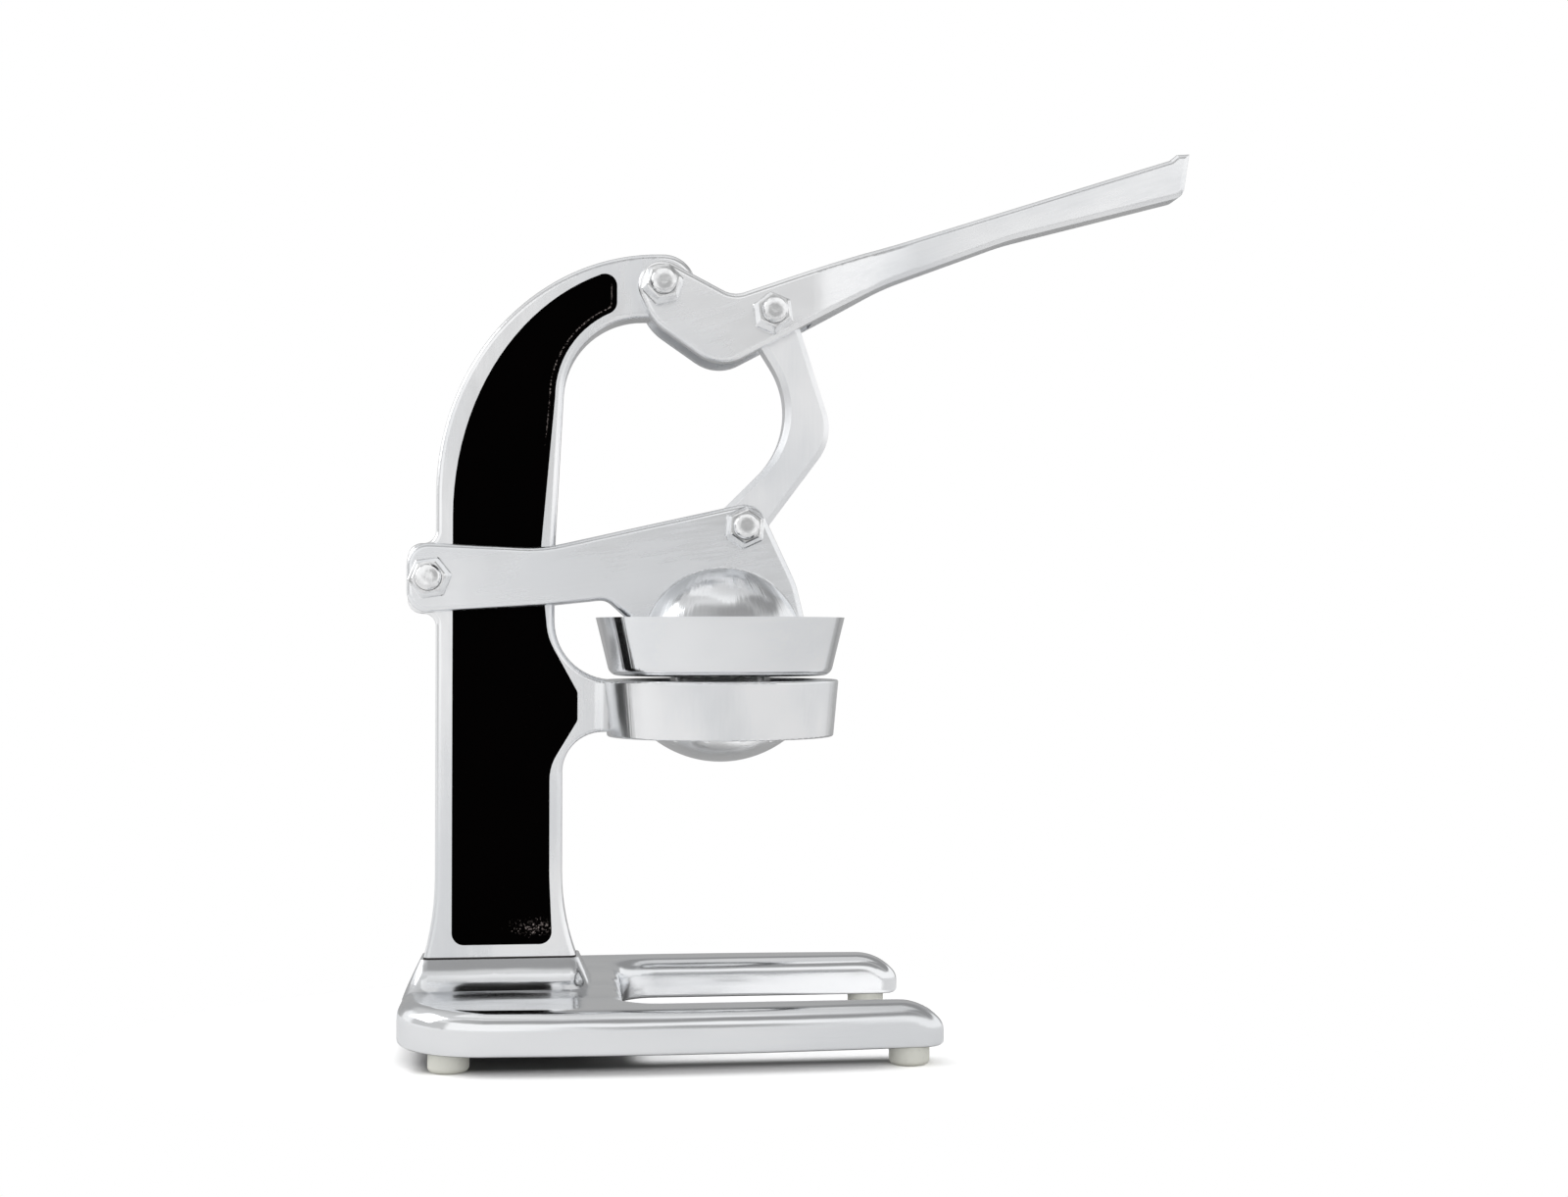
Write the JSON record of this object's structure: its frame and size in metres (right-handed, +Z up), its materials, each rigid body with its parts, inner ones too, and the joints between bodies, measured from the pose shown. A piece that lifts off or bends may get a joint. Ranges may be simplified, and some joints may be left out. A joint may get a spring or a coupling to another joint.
{
  "type": "citrus juicer",
  "caption": "Tabletop lever-press citrus juicer: curved cast column on a forked base, domed press cup worked by a lever and link over a ringed strainer.",
  "frame": {"origin": "on the table, midway along the whole length and on the plane of symmetry", "axes": "+X from the column towards the lever's tip, +Y away from the side with the nuts, +Z up"},
  "size_m": [0.2986, 0.1314, 0.3366],
  "materials": {
    "polished_aluminium": "hand polished casting",
    "strainer_aluminium": "satin casting",
    "black_enamel": "glossy",
    "plated_steel": "bright plated",
    "pale_rubber": "matt"
  },
  "bodies": {
    "frame": {"base_casting": "polished_aluminium", "column_casting": "polished_aluminium", "enamel_panel_near": "black_enamel", "enamel_panel_far": "black_enamel", "strainer": "strainer_aluminium", "column_bolts": "plated_steel", "foot_rear_near": "pale_rubber", "foot_rear_far": "pale_rubber", "foot_front_near": "pale_rubber", "foot_front_far": "pale_rubber", "foot_screws": "plated_steel"},
    "lever": {"lever_handle": "polished_aluminium", "bolt_lever": "plated_steel", "nut_lever": "plated_steel", "bolt_link_top": "plated_steel", "nut_link_top": "plated_steel"},
    "press": {"press_arm": "polished_aluminium", "bolt_link_foot": "plated_steel", "nut_link_foot": "plated_steel", "bolt_arm": "plated_steel", "nut_arm": "plated_steel"},
    "link": {"link": "polished_aluminium"}
  },
  "joints": [
    {"name": "lever_lift", "type": "hinge", "parent": "frame", "child": "lever", "pos_m": [-0.05425, 0, 0.281], "axis": [0, -1, 0], "range_deg": [0, 60]},
    {"name": "press_lift", "type": "hinge", "parent": "frame", "child": "press", "pos_m": [-0.13925, 0, 0.172], "axis": [0, -1, 0], "range_deg": [0, 22.4]},
    {"name": "link_swing", "type": "hinge", "parent": "press", "child": "link", "pos_m": [-0.02375, 0, 0.191], "axis": [0, -1, 0], "range_deg": [-26.9, 0]}
  ],
  "couplings": [
    {"joint": "press_lift", "follows": "lever_lift", "ratio": 0.3717},
    {"joint": "link_swing", "follows": "lever_lift", "ratio": -0.4466}
  ]
}
